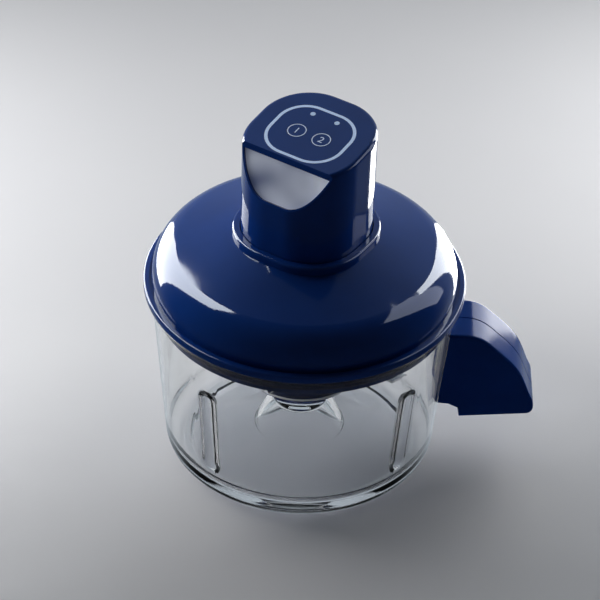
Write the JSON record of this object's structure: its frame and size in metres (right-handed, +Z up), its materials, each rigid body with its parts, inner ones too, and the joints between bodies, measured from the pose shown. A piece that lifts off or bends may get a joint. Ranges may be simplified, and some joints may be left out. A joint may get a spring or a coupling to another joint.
{
  "type": "plunger food chopper",
  "caption": "Round glass bowl with a side handle, a lift-off domed lid and a squared press-down head with motor, key panel and blades.",
  "frame": {"origin": "centre of the bowl's foot ring, at table level", "axes": "+Z up along the spindle, +X from the bowl towards its handle"},
  "size_m": [0.1883, 0.152, 0.1813],
  "materials": {
    "clear_glass": "clear pressed glass",
    "navy_gloss": "high gloss navy moulding",
    "navy_matte": "satin navy moulding",
    "grey_plastic": "satin slate grey inlay",
    "light_guide": "translucent light guide",
    "led_lens": "clear domed lens",
    "seal_rubber": "soft silicone",
    "acetal": "natural acetal",
    "sintered_brass": "sintered bushing",
    "stainless_steel": "drawn stainless steel",
    "blade_steel": "ground blade steel",
    "steel_can": "nickel plated steel",
    "zinc_screw": "zinc plated",
    "board_laminate": "solder masked laminate",
    "cell_sleeve": "shrink sleeve over a steel can"
  },
  "bodies": {
    "bowl": {"glass_bowl": "clear_glass", "handle_bracket": "stainless_steel", "handle_shell_front": "navy_gloss", "handle_shell_back": "navy_gloss", "handle_screws": "zinc_screw"},
    "lid": {"lid_cover": "navy_gloss", "lid_liner": "navy_matte", "lid_gasket": "seal_rubber", "lid_screws": "zinc_screw", "guide_sleeve": "navy_matte", "guide_bush": "acetal", "shaft_bushing": "sintered_brass", "shaft_seal": "seal_rubber", "return_spring": "stainless_steel"},
    "head": {"stem_housing": "navy_gloss", "head_cap": "navy_gloss", "grip_inlay": "grey_plastic", "control_panel": "navy_gloss", "light_ring": "light_guide", "led_lens_left": "led_lens", "led_lens_right": "led_lens", "control_board": "board_laminate", "board_leds": "led_lens", "board_screws": "zinc_screw", "switch_left": "acetal", "switch_right": "acetal", "battery_cell_left": "cell_sleeve", "battery_cell_right": "cell_sleeve", "cell_holder": "navy_matte", "motor": "steel_can", "gearbox": "acetal", "gearbox_screws": "zinc_screw", "bottom_cover": "navy_matte", "bottom_cover_screws": "zinc_screw", "shaft_bearing": "steel_can"},
    "rotor": {"drive_shaft": "stainless_steel", "blade_hub": "navy_matte", "lower_blade": "blade_steel", "blade_spacer": "navy_matte", "upper_blade": "blade_steel", "hub_cap": "navy_matte"},
    "key_1": {"key_1": "navy_gloss"},
    "key_2": {"key_2": "navy_gloss"}
  },
  "joints": [
    {"name": "lid_lift", "type": "slide", "parent": "bowl", "child": "lid", "axis": [0, 0, 1], "range_m": [0, 0.12]},
    {"name": "head_press", "type": "slide", "parent": "lid", "child": "head", "axis": [0, 0, -1], "range_m": [0, 0.03], "stiffness_N_per_m": 250, "springref_m": -0.04, "deforming": ["return_spring"]},
    {"name": "blade_spin", "type": "hinge", "parent": "head", "child": "rotor", "pos_m": [0, 0, 0.1], "axis": [0, 0, 1], "continuous": true},
    {"name": "key_1_press", "type": "slide", "parent": "head", "child": "key_1", "axis": [0.0688, 0.1109, -0.9914], "range_m": [0, 0.0006], "stiffness_N_per_m": 800, "springref_m": -0.0005},
    {"name": "key_2_press", "type": "slide", "parent": "head", "child": "key_2", "axis": [0.0688, 0.1109, -0.9914], "range_m": [0, 0.0006], "stiffness_N_per_m": 800, "springref_m": -0.0005}
  ]
}
